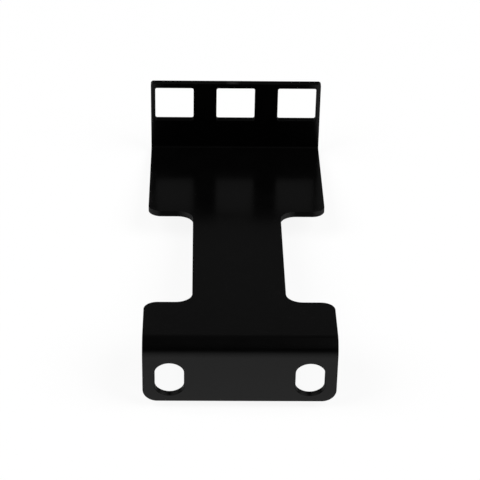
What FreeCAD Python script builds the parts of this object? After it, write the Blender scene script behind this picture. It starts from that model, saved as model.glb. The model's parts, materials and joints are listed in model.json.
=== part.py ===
import FreeCAD, Part
import math
import os

import Sketcher

# Rack depth extender: one strip of steel sheet, waisted in the middle and folded twice into a Z.
# The slotted flange hangs from the front fold and bolts to a rack post. The flange with the square
# holes stands on the rear fold and takes the equipment. Both flanges are upright and parallel, and
# the web between them slopes down to the rear.
#
# X runs across the strip, Y from the slotted flange to the square-holed one, Z up.
# The origin is midway between the two slots, on the slotted flange's outer face.

# Driving sizes, in millimetres and degrees.
SIZES = {
    "overall_depth": 101.6,        # outer face of one flange to outer face of the other
    "strip_width": 43.9,           # one rack unit, less the gap between neighbours
    "sheet_thickness": 1.5,
    "web_slope": 10.0,             # fall of the web towards the rear, from square to the flanges
    "front_bend_inside": 2.0,      # inside radius of the front fold
    "rear_bend_inside": 0.5,       # inside radius of the rear fold, which is folded tighter
    "hole_pitch": 15.875,          # rack hole spacing within one unit
    "square_hole": 9.9,            # side of a square hole
    "square_hole_corner": 0.5,     # radius in the corners of a square hole
    "hole_to_fold": 13.65,         # centre of the square holes above the rear fold's inside corner
    "hole_to_edge": 6.45,          # centre of the square holes below the flange's top edge
    "slot_width": 6.6,             # its ends are half circles
    "slot_length": 9.4,
    "slot_to_fold": 10.6,          # centre of the slots below the front fold's outside corner
    "slot_to_edge": 6.5,           # centre of the slots above the flange's lower edge
    "front_tab": 19.0,             # front fold's outside corner to the waist, along the web
    "rear_tab": 37.0,              # rear fold's inside corner to the waist, along the web
    "neck_width": 21.7,            # strip left at the waist
    "neck_fillet": 3.9,            # radius where the neck meets a tab
    "tab_corner": 3.2,             # radius of the tab corners beside the waist
    "slot_flange_corner": 3.3,     # radius of the slotted flange's lower corners
    "hole_flange_corner": 0.7,     # radius of the square-holed flange's top corners
    "edge_rounding": 0.15,         # outer edge of the strip, both sides of the sheet
}

SQUARE_HOLE_COUNT = 3
SLOT_COUNT = 2
SHARP_ANGLE = math.radians(45)     # faces that meet at more than this have a sharp edge between them
SAME_PLACE = 0.01                  # how near an edge lies to the place it is looked for
NODE = "depth_extender_bracket"

# Derived lengths, as the document's expressions write them.
WEB_REACH = "(sizes.overall_depth - sizes.sheet_thickness)"
SLOPE = "(sizes.web_slope * 1 deg)"
WEB_LENGTH = f"({WEB_REACH} / cos({SLOPE}))"
REAR_FOLD_HEIGHT = f"(sizes.slot_to_fold - {WEB_REACH} * tan({SLOPE}))"
HOLE_ROW_HEIGHT = f"({REAR_FOLD_HEIGHT} + sizes.hole_to_fold)"
TOP_EDGE_HEIGHT = f"({HOLE_ROW_HEIGHT} + sizes.hole_to_edge)"
CUT_LENGTH = "2 * sizes.sheet_thickness"

# Points of a line or arc, as sketch constraints number them.
START, END, CENTRE = range(1, 4)
HORIZONTAL_AXIS, VERTICAL_AXIS = range(-1, -3, -1)
ORIGIN = (HORIZONTAL_AXIS, START)


def vector(x, y):
    return FreeCAD.Vector(x, y, 0)


def line(sketch, start, end):
    return sketch.addGeometry(Part.LineSegment(vector(*start), vector(*end)), False)


def arc(sketch, centre, radius, start_degrees, end_degrees):
    circle = Part.Circle(vector(*centre), FreeCAD.Vector(0, 0, 1), radius)
    span = (math.radians(start_degrees), math.radians(end_degrees))
    return sketch.addGeometry(Part.ArcOfCircle(circle, *span), False)


def bind(sketch, name, expression, kind, *places):
    """Adds a dimension to the sketch, with its value from the sheet."""
    index = sketch.addConstraint(Sketcher.Constraint(kind, *places))
    sketch.renameConstraint(index, name)
    sketch.setExpression("Constraints." + name, expression)


def fix(sketch, kind, *places):
    sketch.addConstraint(Sketcher.Constraint(kind, *places))


def origin_feature(body, role):
    for feature in body.Origin.OriginFeatures:
        if feature.Role == role:
            return feature
    raise ValueError("no origin feature " + role)


def new_sketch(body, name, plane):
    sketch = body.newObject("Sketcher::SketchObject", name)
    sketch.AttachmentSupport = [(origin_feature(body, plane), "")]
    sketch.MapMode = "FlatFace"
    return sketch


def make_sheet(document):
    sheet = document.addObject("Spreadsheet::Sheet", "sizes")
    for row, (name, amount) in enumerate(SIZES.items(), start=1):
        sheet.set(f"A{row}", name)
        sheet.set(f"B{row}", str(amount))
        sheet.setAlias(f"B{row}", name)
    document.recompute()
    return sheet


def value(size, expression):
    """The number that one of the derived lengths comes to."""
    return float(size.evalExpression(expression))


def draw_section(body, size):
    """The folded strip seen from its side: two upright flanges, a sloping web and round folds."""
    sketch = new_sketch(body, "folded_section", "YZ_Plane")
    slope = math.radians(size.web_slope)
    thickness = size.sheet_thickness
    front_inside = size.front_bend_inside
    front_outside = front_inside + thickness
    rear_inside = size.rear_bend_inside
    rear_outside = rear_inside + thickness
    depth = size.overall_depth
    reach = value(size, WEB_REACH)
    bottom = -size.slot_to_edge
    top = value(size, TOP_EDGE_HEIGHT)

    def web_top(y):
        return size.slot_to_fold - y * math.tan(slope)

    def off_web(centre, distance):
        return (centre[0] + distance * math.sin(slope), centre[1] + distance * math.cos(slope))

    front_drop = front_outside / math.cos(slope)
    rear_rise = rear_inside / math.cos(slope)
    front_centre = (front_outside, web_top(front_outside) - front_drop)
    rear_centre = (reach - rear_inside, web_top(reach - rear_inside) + rear_rise)
    front_span = (90 - size.web_slope, 180)
    rear_span = (270 - size.web_slope, 360)

    front_outer = line(sketch, (0, bottom), (0, front_centre[1]))
    front_bend_outer = arc(sketch, front_centre, front_outside, *front_span)
    web_upper = line(sketch, off_web(front_centre, front_outside), off_web(rear_centre, -rear_inside))
    rear_bend_inner = arc(sketch, rear_centre, rear_inside, *rear_span)
    rear_inner = line(sketch, (reach, rear_centre[1]), (reach, top))
    top_edge = line(sketch, (reach, top), (depth, top))
    rear_outer = line(sketch, (depth, top), (depth, rear_centre[1]))
    rear_bend_outer = arc(sketch, rear_centre, rear_outside, *rear_span)
    web_lower = line(sketch, off_web(rear_centre, -rear_outside), off_web(front_centre, front_inside))
    front_bend_inner = arc(sketch, front_centre, front_inside, *front_span)
    front_inner = line(sketch, (thickness, front_centre[1]), (thickness, bottom))
    bottom_edge = line(sketch, (thickness, bottom), (0, bottom))
    fold_corner = sketch.addGeometry(Part.Point(vector(0, size.slot_to_fold)), True)

    smooth_joins = (
        (front_outer, END, front_bend_outer, END),
        (front_bend_outer, START, web_upper, START),
        (web_upper, END, rear_bend_inner, START),
        (rear_bend_inner, END, rear_inner, START),
        (rear_outer, END, rear_bend_outer, END),
        (rear_bend_outer, START, web_lower, START),
        (web_lower, END, front_bend_inner, START),
        (front_bend_inner, END, front_inner, START),
    )
    for join in smooth_joins:
        fix(sketch, "Tangent", *join)
    sharp_joins = (
        (rear_inner, END, top_edge, START),
        (top_edge, END, rear_outer, START),
        (front_inner, END, bottom_edge, START),
        (bottom_edge, END, front_outer, START),
        (front_bend_outer, CENTRE, front_bend_inner, CENTRE),
        (rear_bend_outer, CENTRE, rear_bend_inner, CENTRE),
    )
    for join in sharp_joins:
        fix(sketch, "Coincident", *join)
    for upright in (front_outer, front_inner, rear_inner, rear_outer):
        fix(sketch, "Vertical", upright)
    for level in (top_edge, bottom_edge):
        fix(sketch, "Horizontal", level)
    fix(sketch, "Parallel", web_upper, web_lower)
    fix(sketch, "PointOnObject", front_outer, START, VERTICAL_AXIS)
    fix(sketch, "PointOnObject", fold_corner, START, VERTICAL_AXIS)
    fix(sketch, "PointOnObject", fold_corner, START, web_upper)

    bind(sketch, "front_radius", "sizes.front_bend_inside", "Radius", front_bend_inner, front_inside)
    bind(sketch, "rear_radius", "sizes.rear_bend_inside", "Radius", rear_bend_inner, rear_inside)
    bind(sketch, "thickness", "sizes.sheet_thickness",
         "DistanceX", front_outer, START, front_inner, END, thickness)
    bind(sketch, "depth", "sizes.overall_depth", "DistanceX", *ORIGIN, rear_outer, START, depth)
    bind(sketch, "lower_edge", "sizes.slot_to_edge",
         "DistanceY", front_outer, START, *ORIGIN, size.slot_to_edge)
    bind(sketch, "upper_edge", TOP_EDGE_HEIGHT, "DistanceY", *ORIGIN, rear_outer, START, top)
    bind(sketch, "front_fold", "sizes.slot_to_fold",
         "DistanceY", *ORIGIN, fold_corner, START, size.slot_to_fold)
    bind(sketch, "slope", "-" + SLOPE, "Angle", web_upper, -slope)
    return sketch


def draw_square_hole(body, size):
    """The first square hole of the row, on the inner face of the rear flange."""
    sketch = new_sketch(body, "square_hole_outline", "XZ_Plane")
    sketch.setExpression("AttachmentOffset.Base.z", "-" + WEB_REACH)
    radius = size.square_hole_corner
    straight = size.square_hole / 2 - radius
    half = size.square_hole / 2
    row = -(SQUARE_HOLE_COUNT - 1) / 2
    centre_x = row * size.hole_pitch
    centre_z = value(size, HOLE_ROW_HEIGHT)

    def at(x, z):
        return (centre_x + x, centre_z + z)

    sides = (
        line(sketch, at(-straight, -half), at(straight, -half)),
        line(sketch, at(half, -straight), at(half, straight)),
        line(sketch, at(straight, half), at(-straight, half)),
        line(sketch, at(-half, straight), at(-half, -straight)),
    )
    corners = (
        arc(sketch, at(straight, -straight), radius, 270, 360),
        arc(sketch, at(straight, straight), radius, 0, 90),
        arc(sketch, at(-straight, straight), radius, 90, 180),
        arc(sketch, at(-straight, -straight), radius, 180, 270),
    )
    for number, corner in enumerate(corners):
        fix(sketch, "Tangent", sides[number], END, corner, START)
        fix(sketch, "Tangent", corner, END, sides[(number + 1) % len(sides)], START)
    bottom, right, top, left = sides
    for level in (bottom, top):
        fix(sketch, "Horizontal", level)
    for upright in (right, left):
        fix(sketch, "Vertical", upright)
    for corner in corners[1:]:
        fix(sketch, "Equal", corners[0], corner)
    middle = sketch.addGeometry(Part.Point(vector(centre_x, centre_z)), True)
    fix(sketch, "Symmetric", corners[0], CENTRE, corners[2], CENTRE, middle, START)
    bind(sketch, "corner", "sizes.square_hole_corner", "Radius", corners[0], radius)
    bind(sketch, "side_x", "sizes.square_hole", "DistanceX", left, END, right, START, size.square_hole)
    bind(sketch, "side_z", "sizes.square_hole", "DistanceY", bottom, START, top, START, size.square_hole)
    bind(sketch, "first_hole", f"{-row} * sizes.hole_pitch", "DistanceX", middle, START, *ORIGIN, -centre_x)
    bind(sketch, "row_height", HOLE_ROW_HEIGHT, "DistanceY", *ORIGIN, middle, START, centre_z)
    return sketch


def draw_slot(body, size):
    """The first slot of the pair, upright, on the outer face of the front flange."""
    sketch = new_sketch(body, "slot_outline", "XZ_Plane")
    radius = size.slot_width / 2
    straight = size.slot_length / 2 - radius
    row = -(SLOT_COUNT - 1)
    centre_x = row * size.hole_pitch
    left = line(sketch, (centre_x - radius, straight), (centre_x - radius, -straight))
    lower = arc(sketch, (centre_x, -straight), radius, 180, 360)
    right = line(sketch, (centre_x + radius, -straight), (centre_x + radius, straight))
    upper = arc(sketch, (centre_x, straight), radius, 0, 180)
    fix(sketch, "Tangent", left, END, lower, START)
    fix(sketch, "Tangent", lower, END, right, START)
    fix(sketch, "Tangent", right, END, upper, START)
    fix(sketch, "Tangent", upper, END, left, START)
    fix(sketch, "Vertical", left)
    fix(sketch, "Equal", lower, upper)
    middle = sketch.addGeometry(Part.Point(vector(centre_x, 0)), True)
    fix(sketch, "Symmetric", lower, CENTRE, upper, CENTRE, middle, START)
    fix(sketch, "PointOnObject", middle, START, HORIZONTAL_AXIS)
    bind(sketch, "end_radius", "sizes.slot_width / 2", "Radius", lower, radius)
    bind(sketch, "between_centres", "sizes.slot_length - sizes.slot_width",
         "DistanceY", lower, CENTRE, upper, CENTRE, 2 * straight)
    bind(sketch, "first_slot", f"{-row} * sizes.hole_pitch", "DistanceX", middle, START, *ORIGIN, -centre_x)
    return sketch


def draw_waist(body, size):
    """The right-hand notch of the waist, on the sloping upper face of the web.

    The drawing's Y runs down the web from the front fold's outside corner. The notch also rounds
    the corners of the two tabs, and its open side lies outside the strip.
    """
    sketch = new_sketch(body, "waist_outline", "XY_Plane")
    level = FreeCAD.Vector(1, 0, 0)
    sketch.AttachmentOffset = FreeCAD.Placement(FreeCAD.Vector(), FreeCAD.Rotation(level, -size.web_slope))
    sketch.setExpression("AttachmentOffset.Base.z", "sizes.slot_to_fold")
    sketch.setExpression("AttachmentOffset.Rotation.Angle", "-" + SLOPE)
    neck = size.neck_width / 2
    edge = size.strip_width / 2
    fillet = size.neck_fillet
    corner = size.tab_corner
    clear = edge + corner
    front = size.front_tab
    rear = value(size, WEB_LENGTH) - size.rear_tab

    front_corner = arc(sketch, (edge - corner, front - corner), corner, 0, 90)
    front_side = line(sketch, (edge - corner, front), (neck + fillet, front))
    front_fillet = arc(sketch, (neck + fillet, front + fillet), fillet, 180, 270)
    neck_side = line(sketch, (neck, front + fillet), (neck, rear - fillet))
    rear_fillet = arc(sketch, (neck + fillet, rear - fillet), fillet, 90, 180)
    rear_side = line(sketch, (neck + fillet, rear), (edge - corner, rear))
    rear_corner = arc(sketch, (edge - corner, rear + corner), corner, 270, 360)
    rear_out = line(sketch, (edge, rear + corner), (clear, rear + corner))
    outside = line(sketch, (clear, rear + corner), (clear, front - corner))
    front_in = line(sketch, (clear, front - corner), (edge, front - corner))

    smooth_joins = (
        (front_corner, END, front_side, START),
        (front_side, END, front_fillet, END),
        (front_fillet, START, neck_side, START),
        (neck_side, END, rear_fillet, END),
        (rear_fillet, START, rear_side, START),
        (rear_side, END, rear_corner, START),
    )
    for join in smooth_joins:
        fix(sketch, "Tangent", *join)
    sharp_joins = (
        (rear_corner, END, rear_out, START),
        (rear_out, END, outside, START),
        (outside, END, front_in, START),
        (front_in, END, front_corner, START),
    )
    for join in sharp_joins:
        fix(sketch, "Coincident", *join)
    for level_line in (front_side, rear_side, rear_out, front_in):
        fix(sketch, "Horizontal", level_line)
    for upright in (neck_side, outside):
        fix(sketch, "Vertical", upright)
    fix(sketch, "Horizontal", front_corner, CENTRE, front_corner, START)
    fix(sketch, "Horizontal", rear_corner, CENTRE, rear_corner, END)
    fix(sketch, "Equal", front_fillet, rear_fillet)
    fix(sketch, "Equal", front_corner, rear_corner)
    fix(sketch, "Vertical", front_corner, START, rear_corner, END)
    bind(sketch, "neck_half", "sizes.neck_width / 2", "DistanceX", *ORIGIN, neck_side, START, neck)
    bind(sketch, "strip_half", "sizes.strip_width / 2", "DistanceX", *ORIGIN, front_corner, START, edge)
    bind(sketch, "clearance", "sizes.tab_corner", "DistanceX", front_in, END, front_in, START, corner)
    bind(sketch, "front_edge", "sizes.front_tab", "DistanceY", *ORIGIN, front_side, START, front)
    bind(sketch, "rear_edge", f"{WEB_LENGTH} - sizes.rear_tab", "DistanceY", *ORIGIN, rear_side, START, rear)
    bind(sketch, "fillet", "sizes.neck_fillet", "Radius", front_fillet, fillet)
    bind(sketch, "corner", "sizes.tab_corner", "Radius", front_corner, corner)
    return sketch


def cut(document, body, name, sketch):
    """Cuts the outline through one thickness of the sheet, and confirms that it removed metal."""
    before = body.Shape.Volume
    pocket = body.newObject("PartDesign::Pocket", name)
    pocket.Profile = sketch
    pocket.setExpression("Length", CUT_LENGTH)
    sketch.Visibility = False
    document.recompute()
    if pocket.Shape.Volume >= before:
        raise ValueError(name + " removes no metal")
    return pocket


def repeat(document, body, name, original, count, length):
    pattern = body.newObject("PartDesign::LinearPattern", name)
    pattern.Originals = [original]
    pattern.Direction = (origin_feature(body, "X_Axis"), [""])
    pattern.setExpression("Length", length)
    pattern.Occurrences = count
    body.Tip = pattern
    document.recompute()
    return pattern


def mirror_across_strip(document, body, name, original):
    mirrored = body.newObject("PartDesign::Mirrored", name)
    mirrored.Originals = [original]
    mirrored.MirrorPlane = (origin_feature(body, "YZ_Plane"), [""])
    body.Tip = mirrored
    document.recompute()
    return mirrored


def corner_edges(shape, size, height, middle_depth):
    """The two short edges through the sheet at a flange's free corners."""
    names = []
    for number, edge in enumerate(shape.Edges, start=1):
        middle = edge.CenterOfMass
        at_side = abs(abs(middle.x) - size.strip_width / 2) < SAME_PLACE
        at_height = abs(middle.z - height) < SAME_PLACE
        in_flange = abs(middle.y - middle_depth) < SAME_PLACE
        if at_side and at_height and in_flange:
            names.append(f"Edge{number}")
    return names


def sharp_edges(shape):
    """Every edge where two faces of the sheet meet at a sharp angle."""
    names = []
    for number, edge in enumerate(shape.Edges, start=1):
        middle = edge.valueAt((edge.FirstParameter + edge.LastParameter) / 2)
        faces = shape.ancestorsOfType(edge, Part.Face)
        if len(faces) != 2:
            continue
        normals = [face.normalAt(*face.Surface.parameter(middle)) for face in faces]
        if normals[0].getAngle(normals[1]) > SHARP_ANGLE:
            names.append(f"Edge{number}")
    return names


def round_edges(document, body, name, base, edges, expression):
    fillet = body.newObject("PartDesign::Fillet", name)
    fillet.Base = (base, edges)
    fillet.setExpression("Radius", expression)
    document.recompute()
    return fillet


def make_bracket(document, size):
    body = document.addObject("PartDesign::Body", NODE)
    body.Label = NODE
    body.Placement = FreeCAD.Placement()

    strip = body.newObject("PartDesign::Pad", "folded_strip")
    strip.Profile = draw_section(body, size)
    strip.SideType = "Symmetric"
    strip.setExpression("Length", "sizes.strip_width")
    document.recompute()

    notch = cut(document, body, "waist_right", draw_waist(body, size))
    waist = mirror_across_strip(document, body, "waist", notch)

    half_sheet = size.sheet_thickness / 2
    lower = corner_edges(waist.Shape, size, -size.slot_to_edge, half_sheet)
    slot_flange = round_edges(document, body, "slot_flange_corners", waist, lower,
                              "sizes.slot_flange_corner")
    upper = corner_edges(slot_flange.Shape, size, value(size, TOP_EDGE_HEIGHT),
                         size.overall_depth - half_sheet)
    hole_flange = round_edges(document, body, "hole_flange_corners", slot_flange, upper,
                              "sizes.hole_flange_corner")
    round_edges(document, body, "outer_edge", hole_flange, sharp_edges(hole_flange.Shape),
                "sizes.edge_rounding")

    slot = cut(document, body, "slot", draw_slot(body, size))
    repeat(document, body, "slots", slot, SLOT_COUNT, f"{2 * (SLOT_COUNT - 1)} * sizes.hole_pitch")

    hole = cut(document, body, "square_hole", draw_square_hole(body, size))
    repeat(document, body, "square_holes", hole, SQUARE_HOLE_COUNT,
           f"{SQUARE_HOLE_COUNT - 1} * sizes.hole_pitch")
    return body


def check(document, body):
    document.recompute()
    for item in document.Objects:
        if "Invalid" in item.State or "Error" in item.State:
            raise ValueError(f"{item.Name} failed: {item.State}")
    shape = body.Shape
    if shape.isNull() or not shape.isValid() or len(shape.Solids) != 1:
        raise ValueError(body.Label + " is not one valid solid")


def main():
    document = FreeCAD.newDocument("rack_depth_extender")
    size = make_sheet(document)
    bracket = make_bracket(document, size)
    check(document, bracket)
    os.makedirs("parts", exist_ok=True)
    bracket.Shape.exportStep(f"parts/{bracket.Label}.step")
    box = bracket.Shape.optimalBoundingBox(False, False)
    print(f"{bracket.Label}: {bracket.Shape.Volume:.1f} mm3, {len(bracket.Shape.Faces)} faces")
    print(f"{box.XLength:.2f} by {box.YLength:.2f} by {box.ZLength:.2f} mm, lowest at {box.ZMin:.3f}")


main()
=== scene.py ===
import json
import math
from typing import NamedTuple

import bpy
from mathutils import Euler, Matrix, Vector
from mathutils.geometry import delaunay_2d_cdt


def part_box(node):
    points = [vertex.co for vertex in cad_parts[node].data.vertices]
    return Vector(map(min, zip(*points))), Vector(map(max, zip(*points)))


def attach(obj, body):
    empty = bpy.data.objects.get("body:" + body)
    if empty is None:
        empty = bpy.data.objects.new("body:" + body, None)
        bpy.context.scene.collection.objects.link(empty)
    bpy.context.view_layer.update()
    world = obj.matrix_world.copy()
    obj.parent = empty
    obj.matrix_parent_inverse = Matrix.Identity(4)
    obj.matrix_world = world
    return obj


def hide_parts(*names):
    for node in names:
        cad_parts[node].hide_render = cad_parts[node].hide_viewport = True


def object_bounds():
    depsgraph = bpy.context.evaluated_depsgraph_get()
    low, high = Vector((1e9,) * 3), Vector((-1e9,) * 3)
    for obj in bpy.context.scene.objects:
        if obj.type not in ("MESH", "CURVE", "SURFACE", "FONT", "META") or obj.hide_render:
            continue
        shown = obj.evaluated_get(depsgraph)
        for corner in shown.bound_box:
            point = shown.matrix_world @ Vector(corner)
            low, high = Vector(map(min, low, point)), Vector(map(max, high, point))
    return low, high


# Rack depth extender: one strip of steel sheet, waisted, punched, folded twice into a Z and coated
# black. X runs across the strip, Y from the slotted flange to the square-holed one, Z up. The
# origin is midway between the two slots, on the slotted flange's outer face. Lengths are in metres.

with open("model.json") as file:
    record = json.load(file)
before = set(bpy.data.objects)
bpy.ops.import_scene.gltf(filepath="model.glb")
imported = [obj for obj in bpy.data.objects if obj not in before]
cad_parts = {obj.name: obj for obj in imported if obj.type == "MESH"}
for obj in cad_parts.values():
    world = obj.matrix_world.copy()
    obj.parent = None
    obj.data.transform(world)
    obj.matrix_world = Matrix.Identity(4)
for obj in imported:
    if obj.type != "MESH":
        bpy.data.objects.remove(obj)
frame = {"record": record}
cad_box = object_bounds()

MM = 0.001
NODE = "depth_extender_bracket"

# Sizes of the folded sheet.
SHEET = 1.5 * MM
WEB_SLOPE = math.radians(10)
FOLD_TURN = math.radians(90) + WEB_SLOPE
FRONT_BEND_INSIDE = 2.0 * MM
REAR_BEND_INSIDE = 0.5 * MM
SLOT_TO_EDGE = 6.5 * MM
SLOT_SIDE = 5.0 * MM
SLOT_SHOULDER = 2.4 * MM
SLOT_END_TURN = math.radians(43)
SLOT_TO_FOLD = 10.6 * MM
FRONT_TAB = 19.0 * MM
REAR_TAB = 37.0 * MM
NECK_WIDTH = 21.7 * MM
NECK_FILLET = 3.9 * MM
TAB_CORNER = 3.2 * MM
SLOT_FLANGE_CORNER = 3.3 * MM
HOLE_FLANGE_CORNER = 0.7 * MM
SQUARE_HOLE = 9.9 * MM
SQUARE_HOLE_CORNER = 0.5 * MM
EDGE_ROUNDING = 0.15 * MM

# How finely round stretches are divided.
BEND_STEPS = 20
ROUNDING_STEPS = 4
CORNER_STEP = math.radians(7.5)
SMALL_CORNER_STEP = math.radians(18)
SMALL_CORNER = 1 * MM

# How near two points count as one, and the fill that keeps only triangles inside the given edges.
SAME_POINT = 1e-7
FILL_INSIDE = 1

# How strongly a painted sheen, standing in for reflections, lightens the cut edges at the corners of
# the outline and of the holes, a small rubbed spot on the square-holed flange's top edge, and the pale
# grey that both the painted sheen and the rubbed coat go to.
OUTLINE_PAINTED_SHEEN = 1.0
SLOT_PAINTED_SHEEN = 1.0
SQUARE_HOLE_PAINTED_SHEEN = 0.3
RUBBED_SPOT = Vector((-0.8, 100.8, 13.05)) * MM
RUBBED_SPOT_REACH = 2.0 * MM
SHEEN_AND_RUBBED_GREY = 0.03

# The coat's grain: cells of its mottle and of its orange peel to the metre, the height of the peel,
# and the stretch of the mottle over which the gloss drifts.
MOTTLE_CELLS = 160
PEEL_CELLS = 900
PEEL_HEIGHT = 0.01 * MM
MOTTLE_LOW = 0.3
MOTTLE_HIGH = 0.7

# The white table: half its side, how pale its paint is, and the share of plain white in what is seen
# of it. In front of the slotted flange the coat mirrors it greyer and greyer, between two places on Y.
TABLE_HALF = 6.0
TABLE_PAINT = 0.9
TABLE_WHITE_SHARE = 0.9
TABLE_WHITE_TO = 0.0
TABLE_GREY_FROM = -0.11
TABLE_GREY = 0.56

# How bright the dim room is in front of the part and behind it, and the glow low in front, which fades
# out at a height given as the sine of its angle.
ROOM_IN_FRONT = 0.006
ROOM_BEHIND = 0.087
LOW_GLOW = 0.45
LOW_GLOW_TOP = 0.5

# The camera, in the part's frame, its turn about X, Y and Z, and the nearest and farthest it sees.
CAMERA_AT = Vector((-9.47, -369.83, 326.50)) * MM
CAMERA_TURN = tuple(math.radians(angle) for angle in (52.2191, -0.8950, -0.6829))
CAMERA_LENS = 164.11
CAMERA_SENSOR = 36
CAMERA_NEAR = 0.01
CAMERA_FAR = 50


def mount(name):
    """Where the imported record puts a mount, and its sizes."""
    for entry in frame["record"]["mounts"]:
        if entry["name"] == name:
            return Vector(entry["pos_m"]), entry["dims"]
    raise KeyError(name)


def setback(radius):
    """Distance from a fold's sharp corner to where its round begins."""
    return radius * math.tan(FOLD_TURN / 2)


class Stretch(NamedTuple):
    """One straight or evenly bent stretch of the walk along the sheet."""
    start: float
    curvature: float
    point: Vector
    heading: float

    def at(self, distance):
        """The point and the heading at that distance from the start of the whole walk."""
        step = distance - self.start
        cosine = math.cos(self.heading)
        sine = math.sin(self.heading)
        if self.curvature == 0:
            return self.point + step * Vector((cosine, sine)), self.heading
        turned = self.heading + step * self.curvature
        shift = Vector((math.sin(turned) - sine, cosine - math.cos(turned)))
        return self.point + shift / self.curvature, turned


class FoldedStrip:
    """The middle of the sheet as a walk in the YZ plane: along a flange, round a fold, along the web,
    round the other fold and up the second flange. The left of the walk is the sheet's upper side."""

    def __init__(self):
        low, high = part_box(NODE)
        self.half_width = (high.x - low.x) / 2
        reach = high.y - low.y - SHEET
        web = reach / math.cos(WEB_SLOPE)
        rear_fold = SLOT_TO_FOLD - reach * math.tan(WEB_SLOPE)
        front_setback = setback(FRONT_BEND_INSIDE + SHEET)
        rear_setback = setback(REAR_BEND_INSIDE)
        front_middle = FRONT_BEND_INSIDE + SHEET / 2
        rear_middle = REAR_BEND_INSIDE + SHEET / 2
        self.stretches = []
        self.point = Vector((SHEET / 2, -SLOT_TO_EDGE))
        self.heading = math.radians(90)
        self.length = 0.0
        self.walk(SLOT_TO_EDGE + SLOT_TO_FOLD - front_setback, 0)
        front_bend = self.walk(front_middle * FOLD_TURN, -1 / front_middle)
        self.web_start = self.walk(web - front_setback - rear_setback, 0) - front_setback
        self.web_end = self.web_start + web
        rear_bend = self.walk(rear_middle * FOLD_TURN, 1 / rear_middle)
        self.walk(high.z - rear_fold - rear_setback, 0)
        self.bends = ((front_bend, front_middle * FOLD_TURN), (rear_bend, rear_middle * FOLD_TURN))
        self.top = high.z

    def walk(self, length, curvature):
        """Adds one stretch to the walk and returns where along it the stretch starts."""
        stretch = Stretch(self.length, curvature, self.point, self.heading)
        self.stretches.append(stretch)
        self.point, self.heading = stretch.at(stretch.start + length)
        self.length += length
        return stretch.start

    def place(self, across, distance, height):
        """The point at that place on the flat strip, and the directions along the strip and up from it."""
        found = self.stretches[0]
        for stretch in self.stretches:
            if distance >= stretch.start - SAME_POINT:
                found = stretch
        point, heading = found.at(distance)
        ahead = Vector((0, math.cos(heading), math.sin(heading)))
        up = Vector((0, -math.sin(heading), math.cos(heading)))
        return Vector((across, point.x, point.y)) + height * up, ahead, up

    def bend_levels(self):
        """Places along the strip where the folds are divided."""
        levels = []
        for start, length in self.bends:
            levels += [start + length * step / BEND_STEPS for step in range(BEND_STEPS + 1)]
        return levels


def right_of(direction):
    return Vector((direction.y, -direction.x))


def turned_by(angle, spoke):
    return Vector((spoke.x * math.cos(angle) - spoke.y * math.sin(angle),
                   spoke.x * math.sin(angle) + spoke.y * math.cos(angle)))


def corner_arc(before, corner, after, radius):
    """Points round one rounded corner, each with the way out of the metal and how near it is to the
    middle of the corner, from 0 to 1. The metal lies on the left of the walk."""
    came = (corner - before).normalized()
    goes = (after - corner).normalized()
    turn = came.angle_signed(goes)
    reach = radius * math.tan(abs(turn) / 2)
    inward = -right_of(came) if turn < 0 else right_of(came)
    centre = corner - came * reach + inward * radius
    step = SMALL_CORNER_STEP if radius < SMALL_CORNER else CORNER_STEP
    steps = max(2, math.ceil(abs(turn) / step))
    arc = []
    for index in range(steps + 1):
        spoke = turned_by(-turn * index / steps, -inward * radius)
        out = spoke.normalized() if turn < 0 else -spoke.normalized()
        arc.append((centre + spoke, out, math.sin(math.pi * index / steps)))
    return arc


def rounded_loop(corners, levels=()):
    """The points of corner_arc all round a closed outline.

    A corner is (across, along, radius). Straight stretches along the strip get a point at each of the
    levels.
    """
    sharp = [Vector((across, along)) for across, along, _ in corners]
    count = len(corners)
    arcs = []
    for number, (_, _, radius) in enumerate(corners):
        arcs.append(corner_arc(sharp[number - 1], sharp[number], sharp[(number + 1) % count], radius))
    loop = []
    for number, arc in enumerate(arcs):
        for point, out, nearness in arc:
            if not loop or (point - loop[-1][0]).length > SAME_POINT:
                loop.append((point, out, nearness))
        end = arcs[(number + 1) % count][0][0]
        start, out, _ = arc[-1]
        if abs(end.x - start.x) < SAME_POINT:
            between = [level for level in levels if min(start.y, end.y) < level < max(start.y, end.y)]
            for level in sorted(between, reverse=end.y < start.y):
                loop.append((Vector((start.x, level)), out, 0.0))
    if (loop[0][0] - loop[-1][0]).length < SAME_POINT:
        loop.pop()
    return loop


def strip_outline(strip):
    half = strip.half_width
    front = strip.web_start + FRONT_TAB
    rear = strip.web_end - REAR_TAB
    right_side = [
        (half, 0, SLOT_FLANGE_CORNER),
        (half, front, TAB_CORNER),
        (NECK_WIDTH / 2, front, NECK_FILLET),
        (NECK_WIDTH / 2, rear, NECK_FILLET),
        (half, rear, TAB_CORNER),
        (half, strip.length, HOLE_FLANGE_CORNER),
    ]
    left_side = [(-across, along, radius) for across, along, radius in reversed(right_side)]
    return rounded_loop(right_side + left_side, strip.bend_levels())


def square_outline(across, along):
    """A square hole, walked so that the metal is on its left."""
    half = SQUARE_HOLE / 2
    signs = ((-1, -1), (-1, 1), (1, 1), (1, -1))
    return rounded_loop([(across + x * half, along + y * half, SQUARE_HOLE_CORNER) for x, y in signs])


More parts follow.
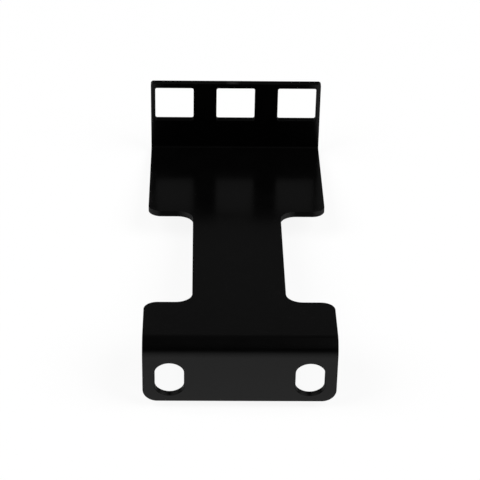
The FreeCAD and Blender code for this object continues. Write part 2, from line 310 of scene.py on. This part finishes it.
def slot_outline(across, along, width, length):
    """A slot with flat sides and ends a little flatter than half circles, walked as the square is.

    An end is one wide arc that would leave SLOT_SIDE of straight side. It runs for SLOT_END_TURN to
    each side of its middle, and there goes over into the sides by tighter shoulders.
    """
    half = width / 2
    end = length / 2
    rise = (length - SLOT_SIDE) / 2
    radius = (half ** 2 + rise ** 2) / (2 * rise)
    crown = radius * math.tan(SLOT_END_TURN / 2)
    shoulder = end - radius + (radius - half * math.sin(SLOT_END_TURN)) / math.cos(SLOT_END_TURN)
    upper = [
        (-half, shoulder, SLOT_SHOULDER),
        (-crown, end, radius),
        (crown, end, radius),
        (half, shoulder, SLOT_SHOULDER),
    ]
    lower = [(-x, -y, bend) for x, y, bend in upper]
    return rounded_loop([(across + x, along + y, bend) for x, y, bend in upper + lower])


def hole_outlines(strip):
    """The outlines of the slots and the square holes, each with the strength of its painted corner sheen.
    """
    loops = []
    for side in ("left", "right"):
        place, dims = mount("rail_slot_" + side)
        width = 2 * dims["hole_r_mm"] * MM
        length = dims["slot_length_mm"] * MM
        loops.append((slot_outline(place.x, place.z + SLOT_TO_EDGE, width, length), SLOT_PAINTED_SHEEN))
    for side in ("left", "middle", "right"):
        place, _ = mount("square_hole_" + side)
        along = strip.length - (strip.top - place.z)
        loops.append((square_outline(place.x, along), SQUARE_HOLE_PAINTED_SHEEN))
    return loops


def edge_rows():
    """Across a cut edge from the upper side to the lower: inset from the cut, height and tilt outward."""
    rows = []
    for side in (1, -1):
        half = []
        for step in range(ROUNDING_STEPS + 1):
            tilt = math.radians(90) * step / ROUNDING_STEPS
            inset = EDGE_ROUNDING * (1 - math.sin(tilt))
            height = SHEET / 2 - EDGE_ROUNDING * (1 - math.cos(tilt))
            half.append((inset, side * height, tilt, side))
        rows += half if side > 0 else list(reversed(half))
    return rows


class SheetMesh:
    """Gathers the folded sheet's points, normals and faces."""

    def __init__(self, strip):
        self.strip = strip
        self.points = []
        self.normals = []
        self.sheen_and_wear = []
        self.faces = []
        self.upper = []
        self.lower = []

    def add_edge(self, loop, corner_sheen):
        """The rounded cut edge along one outline, with a painted sheen of so much at its corners."""
        rows = edge_rows()
        first = len(self.points)
        for inset, height, tilt, side in rows:
            for point, out, nearness in loop:
                flat = point - out * inset
                place, ahead, up = self.strip.place(flat.x, flat.y, height)
                outward = Vector((out.x, 0, 0)) + out.y * ahead
                self.points.append(place)
                self.normals.append(outward * math.sin(tilt) + up * side * math.cos(tilt))
                # Painted sheen: strongest at the middle of each corner on the cut wall, in place of its
                # reflections.
                self.sheen_and_wear.append(corner_sheen * nearness * math.sin(tilt))
        count = len(loop)
        for row in range(len(rows) - 1):
            for number in range(count):
                here = first + row * count + number
                beside = first + row * count + (number + 1) % count
                self.faces.append((here, here + count, beside + count, beside))
        last = first + (len(rows) - 1) * count
        inset = rows[0][0]
        flat_loop = [point - out * inset for point, out, _ in loop]
        self.upper.append((flat_loop, first))
        self.lower.append((flat_loop, last))

    def fill(self, loops):
        """Triangles between the outline, which is the first loop, and the holes, as numbers of points."""
        flat = []
        owner = []
        index = []
        edges = []
        for number, (loop, first) in enumerate(loops):
            base = len(flat)
            for step, point in enumerate(loop):
                flat.append(point)
                owner.append(number)
                index.append(first + step)
                edges.append((base + step, base + (step + 1) % len(loop)))
        for level in self.strip.bend_levels():
            row = [i for i, point in enumerate(flat)
                   if owner[i] == 0 and abs(point.y - level) < SAME_POINT]
            row.sort(key=lambda i: flat[i].x)
            edges.append((row[0], row[-1]))
        _, _, triangles, sources, _, _ = delaunay_2d_cdt(flat, edges, [], FILL_INSIDE, SAME_POINT)
        faces = []
        for triangle in triangles:
            corners = [sources[i][0] for i in triangle]
            owners = {owner[i] for i in corners}
            in_a_hole = len(owners) == 1 and owners != {0}
            if not in_a_hole:
                faces.append([index[i] for i in corners])
        return faces

    def add_sides(self):
        """The sheet's two faces."""
        self.faces += self.fill(self.upper)
        self.faces += [face[::-1] for face in self.fill(self.lower)]

    def make(self, name):
        mesh = bpy.data.meshes.new(name)
        mesh.from_pydata(self.points, [], self.faces)
        mesh.shade_smooth()
        mesh.normals_split_custom_set_from_vertices([tuple(normal) for normal in self.normals])
        # The painted corner sheen, kept on the points for the cut edge's colour.
        sheen_and_wear = mesh.attributes.new("sheen_and_wear", "FLOAT", "POINT")
        sheen_and_wear.data.foreach_set("value", self.sheen_and_wear)
        mesh.validate()
        piece = bpy.data.objects.new(name, mesh)
        bpy.context.scene.collection.objects.link(piece)
        return piece


def make_bracket():
    strip = FoldedStrip()
    sheet = SheetMesh(strip)
    sheet.add_edge(strip_outline(strip), OUTLINE_PAINTED_SHEEN)
    for loop, sheen_and_wear in hole_outlines(strip):
        sheet.add_edge(loop, sheen_and_wear)
    edge_faces = len(sheet.faces)
    sheet.add_sides()
    bracket = sheet.make("folded_bracket")
    grain = coat_grain()
    bracket.data.materials.append(black_coat(grain))
    bracket.data.materials.append(cut_edge_coat(grain))
    for face in bracket.data.polygons[:edge_faces]:
        face.material_index = 1
    return bracket


def link(tree, source, target):
    tree.links.new(source, target)


def grey(level):
    return (level, level, level, 1)


def combined(tree, operation, first, second):
    """What a Math node makes of two values."""
    node = tree.nodes.new("ShaderNodeMath")
    node.operation = operation
    link(tree, first, node.inputs[0])
    link(tree, second, node.inputs[1])
    return node.outputs["Value"]


def faded(tree, value, first, last):
    """A value that runs evenly between two places, each given with what the value is there."""
    node = tree.nodes.new("ShaderNodeMapRange")
    node.inputs["From Min"].default_value, node.inputs["To Min"].default_value = first
    node.inputs["From Max"].default_value, node.inputs["To Max"].default_value = last
    link(tree, value, node.inputs["Value"])
    return node.outputs["Result"]


def noise(tree, where, scale, detail):
    """Noise over the piece in its own coordinates, with so many cells to the metre."""
    cells = tree.nodes.new("ShaderNodeTexNoise")
    cells.inputs["Scale"].default_value = scale
    cells.inputs["Detail"].default_value = detail
    link(tree, where.outputs["Object"], cells.inputs["Vector"])
    return cells.outputs["Fac"]


def coat_grain():
    """The coat's grain, for the faces and the cut edges: colour and gloss that drift between two values,
    and the height of its orange peel."""
    group = bpy.data.node_groups.new("coat_grain", "ShaderNodeTree")
    sockets = (
        ("Dark", "INPUT", "NodeSocketColor"),
        ("Light", "INPUT", "NodeSocketColor"),
        ("Smooth", "INPUT", "NodeSocketFloat"),
        ("Rough", "INPUT", "NodeSocketFloat"),
        ("Color", "OUTPUT", "NodeSocketColor"),
        ("Roughness", "OUTPUT", "NodeSocketFloat"),
        ("Mottle", "OUTPUT", "NodeSocketFloat"),
        ("Peel", "OUTPUT", "NodeSocketFloat"),
    )
    for name, way, kind in sockets:
        group.interface.new_socket(name, in_out=way, socket_type=kind)
    given = group.nodes.new("NodeGroupInput")
    out = group.nodes.new("NodeGroupOutput")
    where = group.nodes.new("ShaderNodeTexCoord")
    mottle = noise(group, where, scale=MOTTLE_CELLS, detail=4)
    link(group, mottle, out.inputs["Mottle"])
    link(group, noise(group, where, scale=PEEL_CELLS, detail=2), out.inputs["Peel"])

    tint = group.nodes.new("ShaderNodeMix")
    tint.data_type = "RGBA"
    link(group, mottle, tint.inputs["Factor"])
    link(group, given.outputs["Dark"], tint.inputs["A"])
    link(group, given.outputs["Light"], tint.inputs["B"])
    link(group, tint.outputs["Result"], out.inputs["Color"])

    gloss = group.nodes.new("ShaderNodeMapRange")
    gloss.inputs["From Min"].default_value = MOTTLE_LOW
    gloss.inputs["From Max"].default_value = MOTTLE_HIGH
    link(group, mottle, gloss.inputs["Value"])
    link(group, given.outputs["Smooth"], gloss.inputs["To Min"])
    link(group, given.outputs["Rough"], gloss.inputs["To Max"])
    link(group, gloss.outputs["Result"], out.inputs["Roughness"])
    return group


def coated(name, group, specular, dark, light, smooth, rough, peel):
    """A material of black coat with its own grain values, and its grain node."""
    material = bpy.data.materials.new(name)
    material.use_nodes = True
    tree = material.node_tree
    surface = tree.nodes["Principled BSDF"]
    surface.inputs["Specular IOR Level"].default_value = specular
    grain = tree.nodes.new("ShaderNodeGroup")
    grain.node_tree = group
    grain.inputs["Dark"].default_value = grey(dark)
    grain.inputs["Light"].default_value = grey(light)
    grain.inputs["Smooth"].default_value = smooth
    grain.inputs["Rough"].default_value = rough
    link(tree, grain.outputs["Color"], surface.inputs["Base Color"])
    link(tree, grain.outputs["Roughness"], surface.inputs["Roughness"])
    bump = tree.nodes.new("ShaderNodeBump")
    bump.inputs["Strength"].default_value = peel
    bump.inputs["Distance"].default_value = PEEL_HEIGHT
    link(tree, grain.outputs["Peel"], bump.inputs["Height"])
    link(tree, bump.outputs["Normal"], surface.inputs["Normal"])
    return material, grain


def black_coat(group):
    """Thin black semi-gloss coat on the sheet's faces: near black and faintly mottled."""
    material, _ = coated("black_coat", group, specular=0.195, dark=0.0006, light=0.0012,
                         smooth=0.155, rough=0.195, peel=0.4)
    return material


def rubbed_spot(tree):
    """A mask of the small rubbed spot: 1 at its middle and 0 past its reach."""
    where = tree.nodes.new("ShaderNodeTexCoord")
    away = tree.nodes.new("ShaderNodeVectorMath")
    away.operation = "DISTANCE"
    away.inputs[1].default_value = RUBBED_SPOT
    link(tree, where.outputs["Object"], away.inputs[0])
    return faded(tree, away.outputs["Value"], (0, 1), (RUBBED_SPOT_REACH, 0))


def cut_edge_coat(group):
    """The same coat over a cut edge: left dull by the rough cut, with a painted sheen that lightens its
    corners in place of the reflections they catch, and rubbed paler in one small spot."""
    material, grain = coated("cut_edge_coat", group, specular=0.04, dark=0.001, light=0.002,
                             smooth=0.55, rough=0.65, peel=0.2)
    tree = material.node_tree
    # Painted sheen at the corners of the cut edges, together with the real rubbed spot, lightens the coat.
    corners = tree.nodes.new("ShaderNodeAttribute")
    corners.attribute_name = "sheen_and_wear"
    sheen_and_wear = combined(tree, "MAXIMUM", corners.outputs["Fac"], rubbed_spot(tree))
    sheen_and_rubbed = tree.nodes.new("ShaderNodeMix")
    sheen_and_rubbed.data_type = "RGBA"
    sheen_and_rubbed.inputs["B"].default_value = grey(SHEEN_AND_RUBBED_GREY)
    link(tree, combined(tree, "MULTIPLY", sheen_and_wear, grain.outputs["Mottle"]), sheen_and_rubbed.inputs["Factor"])
    link(tree, grain.outputs["Color"], sheen_and_rubbed.inputs["A"])
    link(tree, sheen_and_rubbed.outputs["Result"], tree.nodes["Principled BSDF"].inputs["Base Color"])
    return material


def white_floor_material():
    """White table: pale paint that shows as white, with part of the soft shadow kept. The coat mirrors
    it greyer in front of the part."""
    material = bpy.data.materials.new("white_table")
    material.use_nodes = True
    tree = material.node_tree
    tree.nodes.clear()
    output = tree.nodes.new("ShaderNodeOutputMaterial")
    paint = tree.nodes.new("ShaderNodeBsdfDiffuse")
    paint.inputs["Color"].default_value = grey(TABLE_PAINT)
    glow = tree.nodes.new("ShaderNodeEmission")
    ray = tree.nodes.new("ShaderNodeLightPath")
    seen = combined(tree, "MAXIMUM", ray.outputs["Is Camera Ray"], ray.outputs["Is Glossy Ray"])
    seen = combined(tree, "MAXIMUM", seen, ray.outputs["Is Transmission Ray"])
    share = tree.nodes.new("ShaderNodeMath")
    share.operation = "MULTIPLY"
    share.inputs[1].default_value = TABLE_WHITE_SHARE
    link(tree, seen, share.inputs[0])
    where = tree.nodes.new("ShaderNodeTexCoord")
    place = tree.nodes.new("ShaderNodeSeparateXYZ")
    link(tree, where.outputs["Object"], place.inputs["Vector"])
    mirrored = faded(tree, place.outputs["Y"], (TABLE_WHITE_TO, 1), (TABLE_GREY_FROM, TABLE_GREY))
    link(tree, combined(tree, "MAXIMUM", ray.outputs["Is Camera Ray"], mirrored), glow.inputs["Strength"])
    mix = tree.nodes.new("ShaderNodeMixShader")
    link(tree, share.outputs["Value"], mix.inputs["Fac"])
    link(tree, paint.outputs["BSDF"], mix.inputs[1])
    link(tree, glow.outputs["Emission"], mix.inputs[2])
    link(tree, mix.outputs["Shader"], output.inputs["Surface"])
    return material


def make_floor(level):
    """The table's flat top, at the part's lowest point."""
    signs = ((-1, -1), (1, -1), (1, 1), (-1, 1))
    corners = [(x * TABLE_HALF, y * TABLE_HALF, level) for x, y in signs]
    mesh = bpy.data.meshes.new("white_table")
    mesh.from_pydata(corners, [], [(0, 1, 2, 3)])
    floor = bpy.data.objects.new("white_table", mesh)
    floor.data.materials.append(white_floor_material())
    bpy.context.scene.collection.objects.link(floor)


def softbox(name, place, target, width, height, power):
    """A soft panel of light that faces the target."""
    lamp = bpy.data.lights.new(name, "AREA")
    lamp.shape = "RECTANGLE"
    lamp.size = width
    lamp.size_y = height
    lamp.energy = power
    panel = bpy.data.objects.new(name, lamp)
    panel.location = place
    panel.rotation_euler = (target - Vector(place)).to_track_quat("-Z", "Y").to_euler()
    bpy.context.scene.collection.objects.link(panel)


def make_room():
    """A dim room, paler behind the part than in front of it, with a glow low in front."""
    world = bpy.data.worlds.new("dim_room")
    world.use_nodes = True
    tree = world.node_tree
    background = tree.nodes["Background"]
    background.inputs["Color"].default_value = grey(1)
    where = tree.nodes.new("ShaderNodeTexCoord")
    direction = tree.nodes.new("ShaderNodeSeparateXYZ")
    link(tree, where.outputs["Generated"], direction.inputs["Vector"])
    room = faded(tree, direction.outputs["Y"], (-1, ROOM_IN_FRONT), (1, ROOM_BEHIND))
    in_front = faded(tree, direction.outputs["Y"], (0, 0), (-1, LOW_GLOW))
    low = faded(tree, direction.outputs["Z"], (0, 1), (LOW_GLOW_TOP, 0))
    low_glow = combined(tree, "MULTIPLY", in_front, combined(tree, "MULTIPLY", low, low))
    link(tree, combined(tree, "ADD", room, low_glow), background.inputs["Strength"])
    bpy.context.scene.world = world


def light_studio(middle):
    """Two soft boxes that face the part and a faint panel that faces straight down beside it."""
    softbox("right_softbox", place=(1.45, -0.4, 1.7), target=middle, width=1.5, height=1.5, power=42)
    softbox("left_softbox", place=(-1.45, -0.2, 1.7), target=middle, width=1.5, height=1.5, power=39)
    softbox("ceiling_panel", place=(0.67, -0.3, 1.0), target=Vector((0.67, -0.3, 0)),
            width=1.2, height=1.8, power=0.85)


def make_camera():
    data = bpy.data.cameras.new("camera")
    data.lens = CAMERA_LENS
    data.sensor_width = CAMERA_SENSOR
    data.clip_start = CAMERA_NEAR
    data.clip_end = CAMERA_FAR
    camera = bpy.data.objects.new("camera", data)
    camera.location = CAMERA_AT
    camera.rotation_euler = Euler(CAMERA_TURN, "XYZ")
    bpy.context.scene.collection.objects.link(camera)
    bpy.context.scene.camera = camera


def main():
    bracket = make_bracket()
    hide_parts(NODE)
    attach(bracket, "root")
    low, high = cad_box
    make_floor(low.z)
    make_room()
    light_studio((low + high) / 2)
    make_camera()
    bpy.context.scene.view_settings.view_transform = "Standard"


main()
